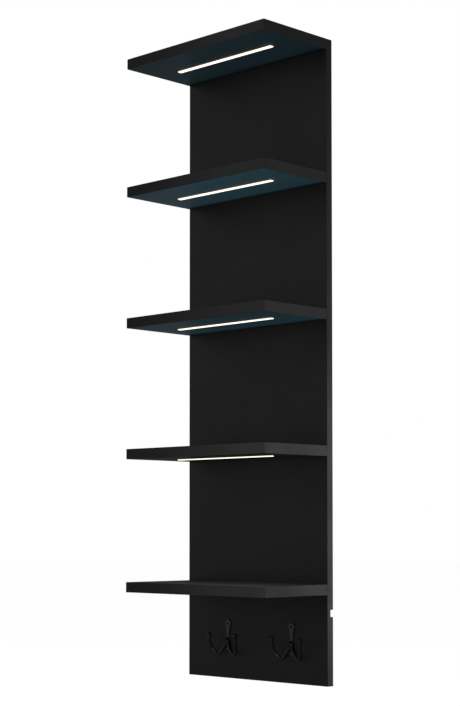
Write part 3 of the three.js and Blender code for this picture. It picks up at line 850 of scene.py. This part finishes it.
def small_parts():
    softened("led_driver", GREY_PLASTIC, 1.1 * MM, segments=4)
    softened("lead_distributor", BLACK_PLASTIC, 0.4 * MM)
    softened("mains_inlet", BLACK_PLASTIC, 0.4 * MM)
    for name in ("upper", "lower"):
        softened(f"lead_comb_{name}", BLACK_PLASTIC, 0.25 * MM)
    for side in SIDES:
        softened(f"hanger_plate_{side}", ZINC, 0.25 * MM)


# ---------------------------------------------------------------- stage, lights and camera
FLOOR_DROP = 0.45  # from the panel's foot to the floor
FLOOR_SIZE = 30
AMBIENT = 0.11  # strength of the grey that the object sees all round


def floor():
    form = bmesh.new()
    bmesh.ops.create_grid(form, x_segments=1, y_segments=1, size=FLOOR_SIZE)
    n = Nodes("pale_floor")
    patch = n.noise(0.6, 2)
    n.set(base_color=n.blend(patch, (0.8, 0.8, 0.8), (0.82, 0.82, 0.82)), roughness=0.9)
    n.set(emission_color=(1.0, 1.0, 1.0), emission_strength=0.9)
    ground = bpy.data.objects.new("floor", to_mesh("floor", form, n.material))
    bpy.context.collection.objects.link(ground)
    ground.location.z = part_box("back_panel")[0].z - FLOOR_DROP
    ground.visible_diffuse = False
    ground.visible_glossy = False


def surroundings():
    """White to the camera, and a dim even grey to the object."""
    world = bpy.data.worlds.new("studio")
    bpy.context.scene.world = world
    world.use_nodes = True
    tree = world.node_tree
    shade = tree.nodes["Background"]
    shade.inputs["Color"].default_value = (0.95, 0.97, 1.0, 1)
    shade.inputs["Strength"].default_value = AMBIENT
    white = tree.nodes.new("ShaderNodeBackground")
    white.inputs["Color"].default_value = (1, 1, 1, 1)
    path = tree.nodes.new("ShaderNodeLightPath")
    mix = tree.nodes.new("ShaderNodeMixShader")
    tree.links.new(path.outputs["Is Camera Ray"], mix.inputs[0])
    tree.links.new(shade.outputs[0], mix.inputs[1])
    tree.links.new(white.outputs[0], mix.inputs[2])
    tree.links.new(mix.outputs[0], tree.nodes["World Output"].inputs["Surface"])


def softbox(name, place, target, size, power, colour=(1, 1, 1)):
    """An area light aimed at target, size in metres and power in watts, which the camera doesn't see."""
    light = bpy.data.lights.new(name, "AREA")
    light.shape = "RECTANGLE"
    light.size, light.size_y = size
    light.energy = power
    light.color = colour
    lamp = bpy.data.objects.new(name, light)
    bpy.context.collection.objects.link(lamp)
    lamp.location = place
    lamp.rotation_euler = (Vector(target) - Vector(place)).to_track_quat("-Z", "Y").to_euler()
    lamp.visible_camera = False
    return lamp


def receive(lamp, pieces):
    """Lets the lamp's light fall on these pieces only."""
    group = bpy.data.collections.new(f"{lamp.name}_receivers")
    for piece in pieces:
        group.objects.link(piece)
    lamp.light_linking.receiver_collection = group


def pass_through(lamp, pieces):
    """These pieces cast no shadow from the lamp."""
    group = bpy.data.collections.new(f"{lamp.name}_passed")
    for piece in pieces:
        group.objects.link(piece)
    for entry in group.collection_objects:
        entry.light_linking.link_state = "EXCLUDE"
    lamp.light_linking.blocker_collection = group


def studio():
    """Lights for the right-hand faces, and in front for the board, the shelf fronts and the hooks."""
    hooks, edges, others = [], [], []
    for piece in bpy.context.scene.objects:
        if piece.name.startswith(("coat_hook", "hook_screw")):
            hooks.append(piece)
        elif piece.name.endswith("_front_edging"):
            edges.append(piece)
        elif piece.type in ("MESH", "CURVE"):
            others.append(piece)
    softbox("side_box", (0.78, 0.66, -0.53), (0.26, 0, -0.55), (0.32, 1.05), 1.3)
    softbox("side_fill", (3.6, 3.0, 0.3), (0.2, 0, 0), (2.2, 2.6), 14)
    softbox("overhead_box", (0.6, -1.2, 3.2), (0, -0.1, 0), (2.5, 2.5), 30)
    front = softbox("front_box", (-3.0, -3.6, 0.5), (0, 0, 0.5), (3, 4.8), 18.5)
    receive(front, others + hooks)
    pass_through(front, hooks)
    edge = softbox("edge_box", (-0.38, -1.0, 0.1), (0.2, -0.26, 0.1), (0.4, 2.4), 1.6)
    receive(edge, edges)
    low_edge = softbox("low_edge_box", (-0.3, -1.05, -0.42), (0.2, -0.26, -0.42), (0.35, 0.6), 0.4)
    receive(low_edge, [piece for piece in edges if "lower" in piece.name or "foot" in piece.name])
    glint = softbox("hook_box", (2.0, -2.9, 0.25), (0, 0, -0.74), (0.5, 0.5), 12)
    receive(glint, hooks)


def wash(name, piece, place, aim, size, power, colour):
    """Soft light that falls on one piece only; aim is its direction."""
    lamp = softbox(name, place, place + Vector(aim), size, power, colour)
    receive(lamp, [bpy.data.objects[piece]])


TEAL = (0.3, 0.76, 1.0)
PALE = (0.88, 1.0, 0.98)
# Watts from below each lit shelf, and from in front of the panel just under it
SPILL = {"top": (0.09, 0.06), "upper": (0.21, 0.11), "middle": (0.03, 0.08), "lower": (0.03, 0.01)}
SPILL_HEIGHT = 0.16
SPILL_SIZE = (0.5, 0.22)
GLOW_SIZE = (0.88, SPILL_HEIGHT)
GLOW_SHIFT = 0.18  # to the left of the shelf's middle
POOL = {"lower": 0.0, "foot": 0.03}  # how far behind the shelf's middle the light on its top is
POOL_HEIGHT = 0.25
POOL_SIZE = (0.5, 0.24)
POOL_POWER = 0.5
UPWARDS = (0, 0.01, 1)  # not quite upright, because an upright lamp swaps its two sizes
DOWNWARDS = (0, 0.01, -1)


def spills():
    """What the light bars throw back: teal on the undersides, and paler on the tops of the lowest shelves."""
    for name, (below, behind) in SPILL.items():
        low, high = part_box(f"shelf_{name}")
        middle = Vector(((low.x + high.x) / 2, (low.y + high.y) / 2, low.z))
        piece = f"shelf_{name}_board"
        place = middle + Vector((0, -0.02, -SPILL_HEIGHT))
        wash(f"spill_{name}", piece, place, UPWARDS, SPILL_SIZE, below, TEAL)
        place = Vector((middle.x - GLOW_SHIFT, high.y - 3 * MM, low.z - 5 * MM - SPILL_HEIGHT / 2))
        wash(f"glow_{name}", piece, place, (0, -1, 0), GLOW_SIZE, behind, TEAL)
    for name, back in POOL.items():
        low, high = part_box(f"shelf_{name}")
        place = Vector(((low.x + high.x) / 2, (low.y + high.y) / 2 + back, high.z + POOL_HEIGHT))
        wash(f"pool_{name}", f"shelf_{name}_board", place, DOWNWARDS, POOL_SIZE, POOL_POWER, PALE)


CAMERA_PLACE = (3.0731, -3.2363, -0.4428)
CAMERA_TURN = math.radians(44.61)
CAMERA_PITCH = math.radians(2.41)
CAMERA_LENS = 83.01  # mm, on a sensor 36 mm tall
CAMERA_SHIFT = 0.1516  # of the picture's height


def camera():
    data = bpy.data.cameras.new("camera")
    data.lens = CAMERA_LENS
    data.sensor_width = 36
    data.shift_y = CAMERA_SHIFT
    eye = bpy.data.objects.new("camera", data)
    bpy.context.collection.objects.link(eye)
    eye.location = CAMERA_PLACE
    eye.rotation_euler = (math.pi / 2 + CAMERA_PITCH, 0, CAMERA_TURN)
    bpy.context.scene.camera = eye


# ---------------------------------------------------------------- everything
camera()
back_panel()
for shelf_name in SHELVES:
    shelf(shelf_name)
for shelf_name in LIT:
    light_bar(shelf_name)
    light_lead(shelf_name)
driver_lead()
small_parts()
all_screws()
for side_name in SIDES:
    hook(side_name)
floor()
surroundings()
studio()
spills()
bpy.context.scene.view_settings.view_transform = "Standard"
